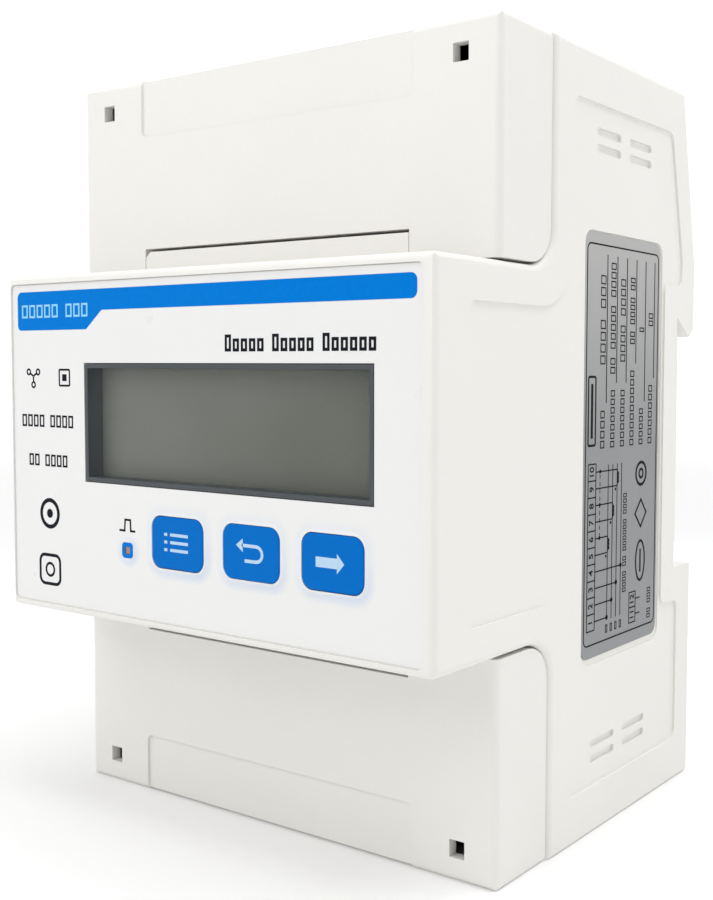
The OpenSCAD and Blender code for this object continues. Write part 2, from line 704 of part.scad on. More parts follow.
module latch_spring() color(steel) {
    points = [for (i = [0:coil_rings]) each coil_ring(i)];
    sides = [for (i = [0:coil_rings - 1], k = [0:wire_sides - 1])
        let (a = i * wire_sides, b = a + wire_sides, next = (k + 1) % wire_sides)
        each [[a + k, a + next, b + next], [a + k, b + next, b + k]]];
    ends = [[for (k = [wire_sides - 1:-1:0]) k], [for (k = [0:wire_sides - 1]) coil_rings * wire_sides + k]];
    polyhedron(points = points, faces = concat(sides, ends));
}

// ---------- label ----------

module rating_label() color(label_silver) {
    floor_x = half_w - side_depth - label_pocket;
    along_x(floor_x, floor_x + label_t) outline(rect(-27.25, -5.35, -27, 27.8, 1.5));
}

rear_base();
front_housing();
front_panel();
top_cover();
bottom_cover();
display_window();
display_bezel();
lcd_glass();
lcd_backlight();
elastomer_strips();
key_set();
key_esc();
key_arrow();
tact_switches();
pulse_led();
light_pipe();
display_board();
display_screws();
main_board();
board_screws();
board_connectors();
ribbon_cable();
power_transformer();
capacitors();
current_sensors();
metering_chip();
processor_chip();
optocouplers();
varistors();
divider_resistors();
terminal_block_top();
terminal_block_bottom();
terminal_clamps_top();
terminal_clamps_bottom();
terminal_screws_top();
terminal_screws_bottom();
terminal_links_top();
terminal_links_bottom();
din_latch();
latch_spring();
rating_label();
case_screws();
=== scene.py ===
import math

import bmesh
import bpy
from mathutils import Matrix, Vector


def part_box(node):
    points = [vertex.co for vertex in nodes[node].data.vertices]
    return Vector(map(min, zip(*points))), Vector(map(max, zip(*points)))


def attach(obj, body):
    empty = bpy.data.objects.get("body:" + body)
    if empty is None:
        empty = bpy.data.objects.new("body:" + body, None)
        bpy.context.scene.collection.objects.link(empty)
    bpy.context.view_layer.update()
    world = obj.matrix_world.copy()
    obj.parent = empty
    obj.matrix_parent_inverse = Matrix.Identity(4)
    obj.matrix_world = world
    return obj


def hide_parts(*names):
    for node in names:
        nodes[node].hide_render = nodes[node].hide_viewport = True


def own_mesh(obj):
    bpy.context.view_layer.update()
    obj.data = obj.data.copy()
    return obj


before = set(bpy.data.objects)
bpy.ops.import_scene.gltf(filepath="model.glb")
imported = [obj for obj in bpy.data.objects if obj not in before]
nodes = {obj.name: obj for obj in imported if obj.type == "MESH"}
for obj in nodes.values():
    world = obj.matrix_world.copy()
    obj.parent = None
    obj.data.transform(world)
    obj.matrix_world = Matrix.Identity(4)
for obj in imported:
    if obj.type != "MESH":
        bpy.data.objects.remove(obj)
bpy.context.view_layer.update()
MM = 0.001


# ---------------------------------------------------------------- places taken from the CAD

def span(node):
    """A node's lowest and highest corners in millimetres."""
    low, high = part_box(node)
    return low / MM, high / MM


panel_low, panel_high = span("front_panel")
label_low, label_high = span("rating_label")
case_low = span("rear_base")[0]
KEYS = ["key_set", "key_esc", "key_arrow"]
PANEL_Y = panel_low.y
LABEL_X = label_high.x
# how far printed ink stands above its surface
INK = 0.02


def middle(node):
    """The centre of a node's box in millimetres."""
    low, high = span(node)
    return (low + high) / 2


# ---------------------------------------------------------------- materials

def new_material(name):
    material = bpy.data.materials.new(name)
    material.use_nodes = True
    return material, material.node_tree, material.node_tree.nodes["Principled BSDF"]


def noise(tree, size_mm, detail=2.0, roughness=0.5, stretch=None):
    """A noise texture in the row frame whose features are about size_mm across."""
    where = tree.nodes.new("ShaderNodeTexCoord")
    texture = tree.nodes.new("ShaderNodeTexNoise")
    texture.inputs["Scale"].default_value = 1.0 / (size_mm * MM)
    texture.inputs["Detail"].default_value = detail
    texture.inputs["Roughness"].default_value = roughness
    source = where.outputs["Object"]
    if stretch:
        mapping = tree.nodes.new("ShaderNodeMapping")
        mapping.inputs["Scale"].default_value = stretch
        tree.links.new(source, mapping.inputs["Vector"])
        source = mapping.outputs["Vector"]
    tree.links.new(source, texture.inputs["Vector"])
    return texture.outputs["Fac"]


def ranged(tree, value, low, high, from_low=0.2, from_high=0.8):
    """Maps a value from one range to another and holds it at the ends."""
    node = tree.nodes.new("ShaderNodeMapRange")
    node.inputs["From Min"].default_value = from_low
    node.inputs["From Max"].default_value = from_high
    node.inputs["To Min"].default_value = low
    node.inputs["To Max"].default_value = high
    tree.links.new(value, node.inputs["Value"])
    return node.outputs["Result"]


def mixed(tree, factor, first, second):
    """Mixes two colours. Each is an (r, g, b) or a socket."""
    node = tree.nodes.new("ShaderNodeMix")
    node.data_type = "RGBA"
    tree.links.new(factor, node.inputs["Factor"])
    for name, colour in (("A", first), ("B", second)):
        socket = [s for s in node.inputs if s.name == name and s.type == "RGBA"][0]
        if isinstance(colour, bpy.types.NodeSocket):
            tree.links.new(colour, socket)
        else:
            socket.default_value = (*colour, 1.0)
    return [s for s in node.outputs if s.type == "RGBA"][0]


def bump(tree, shader, height, depth_mm, after=None):
    """Raises the surface by up to depth_mm where height is 1. after is an earlier bump."""
    node = tree.nodes.new("ShaderNodeBump")
    node.inputs["Strength"].default_value = 1.0
    node.inputs["Distance"].default_value = depth_mm * MM
    tree.links.new(height, node.inputs["Height"])
    if after is not None:
        tree.links.new(after, node.inputs["Normal"])
    tree.links.new(node.outputs["Normal"], shader.inputs["Normal"])
    return node.outputs["Normal"]


def coordinate(tree, axis):
    """A point's place along one axis of the row frame, in metres."""
    where = tree.nodes.new("ShaderNodeTexCoord")
    parts = tree.nodes.new("ShaderNodeSeparateXYZ")
    tree.links.new(where.outputs["Object"], parts.inputs["Vector"])
    return parts.outputs[axis]


def uneven_gloss(tree, shader, rough):
    """Roughness that wanders a little over the surface."""
    gloss = ranged(tree, noise(tree, 5.0, 2.0), rough - 0.04, rough + 0.05)
    tree.links.new(gloss, shader.inputs["Roughness"])


def darker(colour, share):
    """The colour with that share of its light taken away."""
    return tuple(c * (1 - share) for c in colour)


def plastic(name, colour, rough, grain=0.22, grain_depth=0.004, mottle=0.02, specular=0.5,
            soft_depth=0.02):
    """A moulded plastic: spark-eroded grain, faint clouding of the colour and uneven gloss."""
    material, tree, shader = new_material(name)
    clouds = ranged(tree, noise(tree, 14.0, 3.0), 0.0, 1.0)
    specks = ranged(tree, noise(tree, 0.7, 2.0), 0.0, 1.0)
    base = mixed(tree, clouds, colour, darker(colour, mottle))
    fine = mixed(tree, specks, (1.0, 1.0, 1.0), darker((1.0, 1.0, 1.0), mottle * 0.6))
    multiply = tree.nodes.new("ShaderNodeMix")
    multiply.data_type = "RGBA"
    multiply.blend_type = "MULTIPLY"
    multiply.inputs["Factor"].default_value = 1.0
    tree.links.new(base, multiply.inputs[6])
    tree.links.new(fine, multiply.inputs[7])
    tree.links.new(multiply.outputs[2], shader.inputs["Base Color"])
    uneven_gloss(tree, shader, rough)
    shader.inputs["Specular IOR Level"].default_value = specular
    soft = None
    if soft_depth:
        soft = bump(tree, shader, noise(tree, 6.0, 1.0), soft_depth)
    bump(tree, shader, noise(tree, grain, 3.0, 0.6), grain_depth, after=soft)
    return material


def metal(name, colour, rough, stretch=(1.0, 1.0, 1.0), grain=0.3, depth=0.003):
    """A worked metal: streaks along the stretched axis and faint stains."""
    material, tree, shader = new_material(name)
    shader.inputs["Metallic"].default_value = 1.0
    streaks = noise(tree, grain, 3.0, 0.6, stretch)
    stains = ranged(tree, noise(tree, 2.5, 3.0), 0.0, 1.0)
    tree.links.new(mixed(tree, stains, colour, darker(colour, 0.14)), shader.inputs["Base Color"])
    tree.links.new(ranged(tree, streaks, rough - 0.08, rough + 0.1), shader.inputs["Roughness"])
    bump(tree, shader, streaks, depth)
    return material


def circuit_board(name):
    """Green solder mask over copper tracks, with rows of plated holes."""
    material, tree, shader = new_material(name)
    where = tree.nodes.new("ShaderNodeTexCoord")
    bricks = tree.nodes.new("ShaderNodeTexBrick")
    turn = tree.nodes.new("ShaderNodeMapping")
    turn.inputs["Rotation"].default_value = (math.pi / 2, 0, 0)
    tree.links.new(where.outputs["Object"], turn.inputs["Vector"])
    tree.links.new(turn.outputs["Vector"], bricks.inputs["Vector"])
    bricks.inputs["Scale"].default_value = 1 / (4.0 * MM)
    bricks.inputs["Mortar Size"].default_value = 0.06
    bricks.inputs["Color1"].default_value = (0.015, 0.10, 0.035, 1)
    bricks.inputs["Color2"].default_value = (0.018, 0.12, 0.045, 1)
    bricks.inputs["Mortar"].default_value = (0.05, 0.22, 0.08, 1)
    dots = tree.nodes.new("ShaderNodeTexVoronoi")
    dots.inputs["Scale"].default_value = 1 / (2.54 * MM)
    dots.inputs["Randomness"].default_value = 0.0
    tree.links.new(turn.outputs["Vector"], dots.inputs["Vector"])
    pads = ranged(tree, dots.outputs["Distance"], 1.0, 0.0, 0.14, 0.18)
    colour = mixed(tree, pads, bricks.outputs["Color"], (0.62, 0.56, 0.4))
    tree.links.new(colour, shader.inputs["Base Color"])
    shader.inputs["Roughness"].default_value = 0.32
    shader.inputs["Coat Weight"].default_value = 0.3
    bump(tree, shader, bricks.outputs["Fac"], 0.02)
    return material


def display_glass(name):
    """The grey-green face of a reflective display, with painted light that makes it a little lighter
    towards its left, where the light falls.
    """
    material, tree, shader = new_material(name)
    low, high = span("lcd_glass")
    # painted light: the colour runs from the lighter grey-green at the left end to the darker one at the
    # right end
    across = ranged(tree, coordinate(tree, "X"), 1.0, 0.0, low.x * MM, high.x * MM)
    clouds = ranged(tree, noise(tree, 20.0, 1.0), -0.25, 0.25)
    total = tree.nodes.new("ShaderNodeMath")
    tree.links.new(across, total.inputs[0])
    tree.links.new(clouds, total.inputs[1])
    total.use_clamp = True
    tree.links.new(mixed(tree, total.outputs["Value"], (0.106, 0.114, 0.090), (0.192, 0.203, 0.180)),
                   shader.inputs["Base Color"])
    tree.links.new(ranged(tree, noise(tree, 8.0), 0.3, 0.4), shader.inputs["Roughness"])
    shader.inputs["Specular IOR Level"].default_value = 0.3
    return material


def clear_window(name, tint, alpha, rough):
    """A thin clear pane, mostly see-through, with an uneven shine."""
    material, tree, shader = new_material(name)
    tree.links.new(mixed(tree, ranged(tree, noise(tree, 3.0), 0.0, 1.0), tint, darker(tint, 0.05)),
                   shader.inputs["Base Color"])
    tree.links.new(ranged(tree, noise(tree, 4.0), rough, rough + 0.04), shader.inputs["Roughness"])
    shader.inputs["Specular IOR Level"].default_value = 0.3
    shader.inputs["Alpha"].default_value = alpha
    material.blend_method = "BLEND"
    return material


def foil(name):
    """Satin printed aluminium foil: faint lengthwise rolling lines, and a painted sheen that makes it
    brighter towards its upper end.
    """
    material, tree, shader = new_material(name)
    half_way, top = middle("rating_label").z * MM, label_high.z * MM
    # painted sheen: the colour grows lighter from half way up to the top, as if the light from above shone
    # there
    shine = ranged(tree, coordinate(tree, "Z"), 0.0, 1.0, half_way, top)
    lines = noise(tree, 0.25, 3.0, 0.6, (1.0, 1.0, 0.04))
    stains = ranged(tree, noise(tree, 12.0, 2.0), 0.0, 1.0)
    base = mixed(tree, stains, (0.275, 0.282, 0.287), (0.252, 0.26, 0.265))
    tree.links.new(mixed(tree, shine, base, (0.42, 0.42, 0.415)), shader.inputs["Base Color"])
    shader.inputs["Metallic"].default_value = 0.55
    tree.links.new(ranged(tree, lines, 0.34, 0.44), shader.inputs["Roughness"])
    bump(tree, shader, lines, 0.002)
    return material


def ink(name, colour, rough=0.5):
    """A printed ink film with a slightly uneven edge of colour."""
    material, tree, shader = new_material(name)
    uneven = ranged(tree, noise(tree, 0.6, 2.0), 0.0, 1.0)
    tree.links.new(mixed(tree, uneven, colour, darker(colour, 0.1)), shader.inputs["Base Color"])
    tree.links.new(ranged(tree, noise(tree, 1.5), rough - 0.05, rough + 0.05), shader.inputs["Roughness"])
    shader.inputs["Specular IOR Level"].default_value = 0.03
    bump(tree, shader, noise(tree, 0.1, 1.0), 0.001)
    return material


def film_with_painted_shade(name, colour, tint, rough):
    """The panel's film with painted shade, tinted blue by light from the keys, where a tone stored on the
    mesh asks for it.
    """
    material, tree, shader = new_material(name)
    tone = tree.nodes.new("ShaderNodeVertexColor")
    tone.layer_name = "tone"
    value = tree.nodes.new("ShaderNodeRGBToBW")
    tree.links.new(tone.outputs["Color"], value.inputs["Color"])
    specks = ranged(tree, noise(tree, 14.0, 2.0), 0.0, 1.0)
    base = mixed(tree, specks, colour, darker(colour, 0.012))
    tree.links.new(mixed(tree, value.outputs["Val"], base, tint), shader.inputs["Base Color"])
    uneven_gloss(tree, shader, rough)
    return material


SHELL_WHITE = (0.815, 0.802, 0.768)
COVER_WHITE = (0.81, 0.797, 0.765)
PANEL_WHITE = (0.80, 0.802, 0.793)
KEY_BLUE = (0.0, 0.152, 0.560)
BAND_BLUE = (0.0, 0.190, 0.66)

shell = plastic("shell_plastic", SHELL_WHITE, 0.46)
covers = plastic("cover_plastic", COVER_WHITE, 0.5, mottle=0.025)
panel = plastic("panel_film", PANEL_WHITE, 0.3, grain=0.12, grain_depth=0.001, mottle=0.006,
                soft_depth=0.0)
# bluish grey painted shade round the keys and the lamp
painted_shade_film = film_with_painted_shade("panel_film_painted_shade", PANEL_WHITE, (0.60, 0.67, 0.78), 0.3)
keys = plastic("key_plastic", KEY_BLUE, 0.4, grain=0.15, grain_depth=0.002, mottle=0.06, specular=0.04)
dark = plastic("dark_plastic", (0.052, 0.062, 0.07), 0.4, grain_depth=0.003, mottle=0.08)
black = plastic("black_plastic", (0.015, 0.015, 0.017), 0.4, grain_depth=0.003, mottle=0.2)
terminal = plastic("terminal_plastic", (0.045, 0.047, 0.05), 0.5, mottle=0.15)
latch = plastic("latch_plastic", (0.80, 0.79, 0.765), 0.42)
diffuser = plastic("diffuser_plastic", (0.86, 0.87, 0.86), 0.35)
connector = plastic("connector_plastic", (0.78, 0.75, 0.66), 0.4)
rubber = plastic("grey_rubber", (0.2, 0.205, 0.21), 0.75, mottle=0.1, specular=0.25)
led = plastic("led_plastic", (0.42, 0.12, 0.09), 0.25, mottle=0.1)
ferrite = plastic("transformer_ferrite", (0.05, 0.05, 0.055), 0.6, grain=0.4, grain_depth=0.01, mottle=0.25)
sleeve = plastic("capacitor_sleeve", (0.012, 0.02, 0.07), 0.25, mottle=0.1)
potting = plastic("sensor_potting", (0.02, 0.08, 0.32), 0.22, mottle=0.15)
varistor = plastic("varistor_coating", (0.03, 0.12, 0.4), 0.3, grain=0.5, grain_depth=0.02, mottle=0.15)
ceramic = plastic("resistor_ceramic", (0.035, 0.03, 0.028), 0.3, mottle=0.2)
steel = metal("steel_fasteners", (0.60, 0.61, 0.63), 0.32, (1.0, 1.0, 1.0))
spring_steel = metal("spring_steel", (0.52, 0.53, 0.55), 0.28, (1.0, 1.0, 1.0), 0.15)
brass = metal("clamp_brass", (0.72, 0.54, 0.27), 0.34, (1.0, 1.0, 0.08))
tinned = metal("tinned_copper", (0.70, 0.66, 0.60), 0.36, (1.0, 1.0, 0.1))
board = circuit_board("circuit_board")
lcd = display_glass("lcd_glass")
window = clear_window("clear_plastic", (0.25, 0.26, 0.26), 0.05, 0.06)
pipe = plastic("light_pipe_plastic", (0.33, 0.22, 0.2), 0.25, mottle=0.08)
label = foil("label_foil")
blue_ink = ink("blue_ink", BAND_BLUE, 0.34)
dark_ink = ink("dark_ink", (0.012, 0.013, 0.02), 0.45)
label_ink = ink("label_ink", (0.010, 0.010, 0.012), 0.45)
legend_ink = ink("legend_ink", (0.50, 0.68, 0.86), 0.4)
pale_ink = ink("pale_ink", (0.30, 0.66, 0.90), 0.4)

FINISH = {
    "rear_base": shell, "front_housing": shell, "front_panel": panel, "top_cover": covers,
    "bottom_cover": covers, "display_window": window, "display_bezel": dark, "lcd_glass": lcd,
    "lcd_backlight": diffuser, "elastomer_strips": rubber, "key_set": keys, "key_esc": keys,
    "key_arrow": keys, "tact_switches": black, "pulse_led": led, "light_pipe": pipe,
    "display_board": board, "display_screws": steel, "main_board": board, "board_screws": steel,
    "board_connectors": connector, "ribbon_cable": rubber, "power_transformer": ferrite,
    "capacitors": sleeve, "current_sensors": potting, "metering_chip": black, "processor_chip": black,
    "optocouplers": black, "varistors": varistor, "divider_resistors": ceramic,
    "terminal_block_top": terminal, "terminal_block_bottom": terminal, "terminal_clamps_top": brass,
    "terminal_clamps_bottom": brass, "terminal_screws_top": steel, "terminal_screws_bottom": steel,
    "terminal_links_top": tinned, "terminal_links_bottom": tinned, "din_latch": latch,
    "latch_spring": spring_steel, "rating_label": label, "case_screws": steel,
}


# ---------------------------------------------------------------- finish of the CAD nodes

def smooth_group():
    """A node group that shades every face smooth, so that bevels and fillets blend."""
    group = bpy.data.node_groups.new("smooth_faces", "GeometryNodeTree")
    group.interface.new_socket("Geometry", in_out="INPUT", socket_type="NodeSocketGeometry")
    group.interface.new_socket("Geometry", in_out="OUTPUT", socket_type="NodeSocketGeometry")
    start = group.nodes.new("NodeGroupInput")
    end = group.nodes.new("NodeGroupOutput")
    smooth = group.nodes.new("GeometryNodeSetShadeSmooth")
    group.links.new(start.outputs[0], smooth.inputs["Geometry"])
    group.links.new(smooth.outputs["Geometry"], end.inputs[0])
    return group


SMOOTH = smooth_group()
# how wide the rounded edges are, where they aren't 0.06 mm
BEVEL_MM = {
    "front_housing": 0.12, "rear_base": 0.12, "top_cover": 0.12, "bottom_cover": 0.12,
    "display_bezel": 0.08, "key_set": 0.32, "key_esc": 0.32, "key_arrow": 0.32,
    "din_latch": 0.15, "display_window": 0.03, "light_pipe": 0.05,
    "terminal_block_top": 0.12, "terminal_block_bottom": 0.12, "lcd_glass": 0.04,
}
# thin films with large flat faces, which stay as the CAD made them
FLAT = ("front_panel", "rating_label")


def soften(node):
    """Rounds a CAD node's sharp edges a little and shades it smooth, all by modifiers."""
    obj = nodes[node]
    shade = obj.modifiers.new("smooth", "NODES")
    shade.node_group = SMOOTH
    weld = obj.modifiers.new("weld", "WELD")
    weld.merge_threshold = 0.0005 * MM
    merge = obj.modifiers.new("merge", "DECIMATE")
    merge.decimate_type = "DISSOLVE"
    merge.angle_limit = math.radians(0.4)
    edge = obj.modifiers.new("edge", "BEVEL")
    edge.width = BEVEL_MM.get(node, 0.06) * MM
    edge.segments = 4 if node in KEYS else 2
    edge.limit_method = "ANGLE"
    edge.angle_limit = math.radians(40)
    edge.miter_outer = "MITER_ARC"
    edge.face_strength_mode = "FSTR_ALL"
    weighted = obj.modifiers.new("weighted", "WEIGHTED_NORMAL")
    weighted.weight = 100
    weighted.use_face_influence = True


for node_name, material in FINISH.items():
    obj = nodes[node_name]
    obj.data.materials.clear()
    obj.data.materials.append(material)
    if node_name not in FLAT:
        soften(node_name)


# ---------------------------------------------------------------- meshes for prints and trims

def rounded(points, radius, steps=5):
    """A closed outline in millimetres whose corners are rounded. radius is one number or one per corner."""
    count = len(points)
    radii = radius if isinstance(radius, (list, tuple)) else [radius] * count
    out = []
    for i, (here, r) in enumerate(zip(points, radii)):
        here = Vector(here)
        before, after = Vector(points[i - 1]), Vector(points[(i + 1) % count])
        if r <= 0:
            out.append(here)
            continue
        u, v = (before - here).normalized(), (after - here).normalized()
        half = u.angle(v) / 2
        reach = r / math.tan(half)
        centre = here + (u + v).normalized() * (r / math.sin(half))
        start, end = here + u * reach - centre, here + v * reach - centre
        a0 = math.atan2(start.y, start.x)
        sweep = math.atan2(end.y, end.x) - a0
        sweep = (sweep + math.pi) % (2 * math.pi) - math.pi
        for k in range(steps + 1):
            a = a0 + sweep * k / steps
            out.append(centre + r * Vector((math.cos(a), math.sin(a))))
    return out


def rect(u0, u1, v0, v1, radius=0.0, steps=5):
    """The outline of a rectangle, with rounded corners if it has a radius."""
    return rounded([(u0, v0), (u1, v0), (u1, v1), (u0, v1)], radius, steps)


def circle(u, v, r, count=28):
    """The outline of a circle."""
    angles = [2 * math.pi * k / count for k in range(count)]
    return [Vector((u + r * math.cos(a), v + r * math.sin(a))) for a in angles]


def offsets(points, width, closed):
    """The two sides of a line of that width, mitred at its corners."""
    points = [Vector(p) for p in points]
    left, right = [], []
    last = len(points) - 1
    for i, here in enumerate(points):
        before = points[i - 1] if (i > 0 or closed) else None
        after = points[(i + 1) % len(points)] if (i < last or closed) else None
        ahead = (after - here).normalized() if after is not None else (here - before).normalized()
        behind = (here - before).normalized() if before is not None else ahead
        n1, n2 = Vector((-behind.y, behind.x)), Vector((-ahead.y, ahead.x))
        normal = (n1 + n2).normalized()
        reach = width / 2 / max(0.35, normal.dot(n2))
        left.append(here + normal * reach)
        right.append(here - normal * reach)
    return left, right


def add_object(name, mesh_data, material):
    """Turns built faces into an object of the scene with one material."""
    mesh = bpy.data.meshes.new(name)
    mesh_data.to_mesh(mesh)
    mesh_data.free()
    obj = bpy.data.objects.new(name, mesh)
    bpy.context.scene.collection.objects.link(obj)
    mesh.materials.append(material)
    return obj


def on_panel(u, v, height):
    """A point on the panel: u to the right, v up, height out of it, all in millimetres."""
    return Vector((u, PANEL_Y - height, v)) * MM


def on_label(u, v, height):
    """A point on the label: u towards the back, v up, height out of it, all in millimetres."""
    return Vector((LABEL_X + height, u, v)) * MM


class Print:
    """Flat shapes of one ink, built as thin closed solids on a surface."""

    def __init__(self, place, low=-0.004, high=INK):
        self.mesh = bmesh.new()
        self.place, self.low, self.high = place, low, high

    def _ring(self, points, height):
        return [self.mesh.verts.new(self.place(p[0], p[1], height)) for p in points]

    def fill(self, points):
        """A filled outline."""
        bottom, top = self._ring(points, self.low), self._ring(points, self.high)
        self.mesh.faces.new(top)
        self.mesh.faces.new(bottom[::-1])
        count = len(points)
        for i in range(count):
            j = (i + 1) % count
            self.mesh.faces.new((bottom[i], bottom[j], top[j], top[i]))

    def line(self, points, width, closed=False):
        """A line of even width along the points."""
        left, right = offsets(points, width, closed)
        rings = [self._ring(r, h) for r, h in
                 ((left, self.low), (left, self.high), (right, self.high), (right, self.low))]
        count = len(points)
        for i in range(count if closed else count - 1):
            j = (i + 1) % count
            for a, b in ((0, 1), (1, 2), (2, 3), (3, 0)):
                self.mesh.faces.new((rings[a][i], rings[b][i], rings[b][j], rings[a][j]))
        if not closed:
            self.mesh.faces.new([r[0] for r in rings][::-1])
            self.mesh.faces.new([r[-1] for r in rings])

    def words(self, u0, u1, v0, v1, lengths, stroke=0.2, upright=False, lower=1.0):
        """Rows of small empty cells in place of lettering. Each word has its number of cells.
        lower is the height of the cells after the first of each word."""
        along = (v1 - v0) if upright else (u1 - u0)
        pitch = along / (sum(lengths) + 0.8 * (len(lengths) - 1))
        at, half = 0.0, stroke / 2
        for length in lengths:
            for i in range(length):
                start, end = at * pitch + half, (at + 0.78) * pitch - half
                tall = 1.0 if i == 0 else lower
                if upright:
                    foot = u1 - (u1 - u0) * tall
                    cell = rect(foot + half, u1 - half, v0 + start, v0 + end)
                else:
                    head = v0 + (v1 - v0) * tall
                    cell = rect(u0 + start, u0 + end, v0 + half, head - half)
                self.line(cell, stroke, closed=True)
                at += 1
            at += 0.8

    def make(self, name, material, body="case"):
        """Ends the print and makes it a piece that rides on the body."""
        bmesh.ops.recalc_face_normals(self.mesh, faces=self.mesh.faces)
        obj = add_object(name, self.mesh, material)
        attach(obj, body)


# ---------------------------------------------------------------- print on the front panel

def make_band():
    """The blue band across the top of the panel, deeper at its left end."""
    left, right = panel_low.x + 1.1, panel_high.x - 0.85
    top, bottom, tab = panel_high.z - 0.95, panel_high.z - 3.66, panel_high.z - 6.1
    outline = [(left, top), (left, tab), (left + 14.3, tab), (left + 17.4, bottom), (right, bottom),
               (right, top)]
    band = Print(on_panel)
    band.fill(rounded(outline, [0.8, 0.7, 0.5, 0.6, 0.8, 0.8]))
    band.make("panel_band", blue_ink)
    marks = Print(on_panel, INK - 0.004, INK + 0.014)
    marks.words(left + 0.95, left + 15.0, tab + 1.65, tab + 3.4, [5, 3], 0.26)
    marks.make("band_marks", pale_ink)


def star(marks, x, z, reach):
    """Three lines that meet, each ending in a small ring."""
    for degrees in (30, 150, 270):
        a = math.radians(degrees)
        way = Vector((math.cos(a), math.sin(a)))
        marks.line([Vector((x, z)) + way * 0.05, Vector((x, z)) + way * reach], 0.26)
        end = Vector((x, z)) + way * (reach + 0.3)
        marks.line(circle(end.x, end.y, 0.36, 16), 0.24, closed=True)


def make_panel_marks():
    """Small dark marks on the panel. Wording is replaced by rows of empty cells."""
    left, top = panel_low.x, panel_high.z
    marks = Print(on_panel)
    # heading above the display's right half
    marks.words(left + 40.6, left + 63.6, top - 9.1, top - 7.1, [5, 5, 6], 0.36, lower=0.76)
    star(marks, left + 4.3, top - 12.25, 0.85)
    marks.line(rect(left + 9.8, left + 11.9, top - 13.45, top - 11.35, 0.15), 0.26, closed=True)
    marks.fill(rect(left + 10.4, left + 11.3, top - 12.85, top - 11.95))
    # two short rows where the ratings stand
    marks.words(left + 1.75, left + 12.8, top - 19.05, top - 17.4, [4, 4], 0.26)
    marks.words(left + 3.15, left + 11.5, top - 24.3, top - 22.7, [2, 4], 0.26)
    # a ring and a square in place of the approval marks
    marks.line(circle(left + 7.4, top - 30.65, 1.8), 0.55, closed=True)
    marks.fill(circle(left + 7.4, top - 30.65, 0.62, 20))
    marks.line(rect(left + 5.2, left + 9.4, top - 40.2, top - 36.3, 0.9), 0.42, closed=True)
    marks.line(circle(left + 7.3, top - 38.25, 0.85), 0.34, closed=True)
    # the square pulse above the lamp
    lamp = middle("light_pipe")
    base, up = lamp.z + 2.5, lamp.z + 3.9
    marks.line([(lamp.x - 1.6, base), (lamp.x - 0.6, base), (lamp.x - 0.5, up), (lamp.x + 0.5, up),
                (lamp.x + 0.55, base), (lamp.x + 1.4, base)], 0.27)
    marks.make("panel_marks", dark_ink)


def make_bead():
    """The bead of adhesive that fills the gap round the panel, a little below its face."""
    low, high = panel_low, panel_high
    top_extra, corner = 0.13, 0.6
    section = [(-0.02, 0.04), (0.13, 0.04), (0.13, 0.35), (-0.02, 0.35)]
    rings = []
    for grow, depth in section:
        outline = rect(low.x - grow, high.x + grow, low.z - grow, high.z + grow, corner + grow, 6)
        deeper = [depth + (top_extra if p.y > high.z - 0.5 else 0) for p in outline]
        rings.append([Vector((p.x, PANEL_Y + d, p.y)) * MM for p, d in zip(outline, deeper)])
    loft("panel_bead", rings, shell, "case", smooth=False)


def key_outline(low, high, grow):
    """A key cap's rounded outline, moved outwards by grow."""
    corner = 1.5
    return rect(low.x - grow, high.x + grow, low.z - grow, high.z + grow, corner + grow, 6)


def key_cap(node):
    """The outline of a key's cap. The flange behind the panel is wider, so its reach is taken off."""
    low, high = span(node)
    flange = 0.8
    inset = Vector((flange, 0, flange))
    return low + inset, high - inset


def loft(name, rings, material, body, smooth=True, tones=None):
    """A closed strip of quads through rings of equal length, joined end to end round its section.
    tones holds a number from 0 to 1 for each point of each ring: the share of painted shade for the
    material to read."""
    mesh_data = bmesh.new()
    loops = [[mesh_data.verts.new(v) for v in ring] for ring in rings]
    count = len(loops[0])
    for a in range(len(loops)):
        b = (a + 1) % len(loops)
        for i in range(count):
            j = (i + 1) % count
            mesh_data.faces.new((loops[a][i], loops[a][j], loops[b][j], loops[b][i]))
    bmesh.ops.recalc_face_normals(mesh_data, faces=mesh_data.faces)
    for face in mesh_data.faces:
        face.smooth = smooth
    obj = add_object(name, mesh_data, material)
    if tones:
        values = [tone for ring in tones for tone in ring]
        layer = obj.data.color_attributes.new("tone", "FLOAT_COLOR", "POINT")
        for value, item in zip(values, layer.data):
            item.color = (value, value, value, 1.0)
    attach(obj, body)


# how strongly each ring of a key's collar takes the painted blue shade
PAINTED_SHADE_SHARES = (0.0, 0.0, 0.1, 0.25, 0.75, 1.0, 0.8, 0.5, 0.22, 0.0, 0.0, 0.0, 0.0, 0.0)


def painted_shade_tones(rings, centre, shares):
    """Tones of painted shade, strongest below and a little to the right of the centre, where the shade
    falls.
    """
    below = Vector((0.25, -0.97))
    tones = []
    for ring, share in zip(rings, shares):
        row = []
        for point in ring:
            away = (Vector((point.x, point.z)) / MM - centre).normalized()
            row.append(share * (0.25 + 0.75 * max(0.0, away.dot(below))))
        tones.append(row)
    return tones


def make_collar(node):
    """The film rises in a soft ramp round each key, as on an embossed overlay."""
    low, high = key_cap(node)
    # each ring's distance from the key and its height above the panel
    section = [(0.05, 0.02), (0.05, 0.19), (0.12, 0.215), (0.21, 0.17), (0.34, 0.13), (0.55, 0.085),
               (0.8, 0.048), (1.1, 0.02), (1.4, 0.005), (1.6, 0.0), (1.8, -0.002), (1.85, -0.03),
               (0.9, -0.03), (0.2, -0.03)]
    rings = [[on_panel(p.x, p.y, h) for p in key_outline(low, high, grow)] for grow, h in section]
    centre = Vector(((low.x + high.x) / 2, (low.z + high.z) / 2))
    # the collar carries painted shade below and to the right of the key
    loft("collar_" + node, rings, painted_shade_film, "case", tones=painted_shade_tones(rings, centre, PAINTED_SHADE_SHARES))


